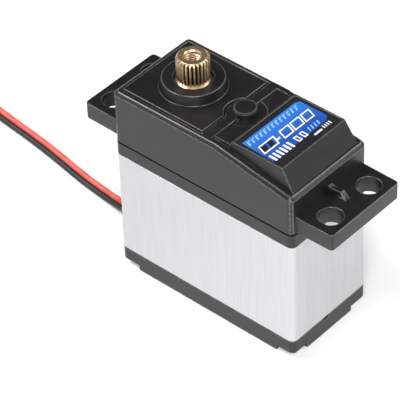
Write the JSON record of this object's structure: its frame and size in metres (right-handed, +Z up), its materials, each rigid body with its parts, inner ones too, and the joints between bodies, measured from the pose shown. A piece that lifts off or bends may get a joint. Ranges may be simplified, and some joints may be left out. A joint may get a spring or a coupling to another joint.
{
  "type": "servo motor",
  "caption": "Standard-size servo motor with metal gears, aluminium centre case, splined output shaft, slotted mounting ears and a three-wire lead",
  "frame": {"origin": "under the middle of the case, on the surface the servo stands on", "axes": "+Z up along the output shaft, +X along the case away from the output shaft, +Y across the case"},
  "size_m": [0.128, 0.0327, 0.0467],
  "materials": {
    "black plastic": "fine-grained black moulded plastic",
    "brushed aluminium": "fine satin, anodised silver",
    "brass": "machined, satin",
    "steel": "machined steel",
    "ferrite": "dark matt ferrite, carbon and chip packages",
    "copper": "turned copper",
    "printed label": null,
    "circuit board": "green solder mask",
    "rubber": "matt black rubber",
    "black insulation": "soft cable insulation",
    "red insulation": "soft cable insulation",
    "white insulation": "soft cable insulation"
  },
  "bodies": {
    "housing": {"black_wire": "black insulation", "black_wire_tail": "black insulation", "bottom_cover": "black plastic", "case_screw_1": "steel", "case_screw_2": "steel", "case_screw_3": "steel", "case_screw_4": "steel", "centre_case": "brushed aluminium", "centre_pin": "steel", "control_board": "circuit board", "gear_plate": "black plastic", "label": "printed label", "lead_coil": "black insulation", "lead_grommet": "rubber", "lead_plug": "black plastic", "lower_bearing_outer_ring": "steel", "microcontroller": "ferrite", "motor_brush_1": "ferrite", "motor_brush_2": "ferrite", "motor_can": "steel", "motor_driver_1": "ferrite", "motor_driver_2": "ferrite", "motor_driver_3": "ferrite", "motor_driver_4": "ferrite", "motor_end_cap": "black plastic", "motor_magnet_1": "ferrite", "motor_magnet_2": "ferrite", "motor_screw_1": "steel", "motor_screw_2": "steel", "motor_terminal_1": "brass", "motor_terminal_2": "brass", "plug_contact_1": "brass", "plug_contact_2": "brass", "plug_contact_3": "brass", "red_wire": "red insulation", "red_wire_tail": "red insulation", "second_pin": "steel", "sensor_body": "black plastic", "sensor_pin_1": "brass", "sensor_pin_2": "brass", "sensor_pin_3": "brass", "smoothing_capacitor": "brushed aluminium", "top_case": "black plastic", "upper_bearing_outer_ring": "steel", "white_wire": "white insulation", "white_wire_tail": "white insulation"},
    "output": {"output_gear": "brass", "upper_bearing_inner_ring": "steel", "lower_bearing_inner_ring": "steel", "sensor_shaft": "steel"},
    "third_gear": {"third_gear": "steel"},
    "second_gear": {"second_gear": "brass"},
    "first_gear": {"first_gear": "brass"},
    "rotor": {"motor_armature": "steel", "motor_shaft": "steel", "motor_pinion": "brass", "motor_commutator": "copper"},
    "upper_balls": {"upper_bearing_ball_cage": "steel"},
    "lower_balls": {"lower_bearing_ball_cage": "steel"}
  },
  "joints": [
    {"name": "output_turn", "type": "hinge", "parent": "housing", "child": "output", "pos_m": [-0.0101, 0, 0.0366], "axis": [0, 0, 1], "range_deg": [-90, 90]},
    {"name": "third_gear_turn", "type": "hinge", "parent": "housing", "child": "third_gear", "pos_m": [0.00166, 0, 0.0346], "axis": [0, 0, 1], "continuous": true},
    {"name": "second_gear_turn", "type": "hinge", "parent": "housing", "child": "second_gear", "pos_m": [0.00875, 0.00275, 0.0326], "axis": [0, 0, 1], "continuous": true},
    {"name": "first_gear_turn", "type": "hinge", "parent": "housing", "child": "first_gear", "pos_m": [0.00166, 0, 0.0304], "axis": [0, 0, 1], "continuous": true},
    {"name": "rotor_turn", "type": "hinge", "parent": "housing", "child": "rotor", "pos_m": [0.0094, 0, 0.018], "axis": [0, 0, 1], "continuous": true},
    {"name": "upper_balls_turn", "type": "hinge", "parent": "housing", "child": "upper_balls", "pos_m": [-0.0101, 0, 0.0397], "axis": [0, 0, 1], "continuous": true},
    {"name": "lower_balls_turn", "type": "hinge", "parent": "housing", "child": "lower_balls", "pos_m": [-0.0101, 0, 0.02725], "axis": [0, 0, 1], "continuous": true}
  ],
  "couplings": [
    {"joint": "third_gear_turn", "follows": "output_turn", "ratio": -2.1111},
    {"joint": "second_gear_turn", "follows": "output_turn", "ratio": 5.6296},
    {"joint": "first_gear_turn", "follows": "output_turn", "ratio": -15.012},
    {"joint": "rotor_turn", "follows": "output_turn", "ratio": 75.062},
    {"joint": "upper_balls_turn", "follows": "output_turn", "ratio": 0.44578},
    {"joint": "lower_balls_turn", "follows": "output_turn", "ratio": 0.44578}
  ]
}
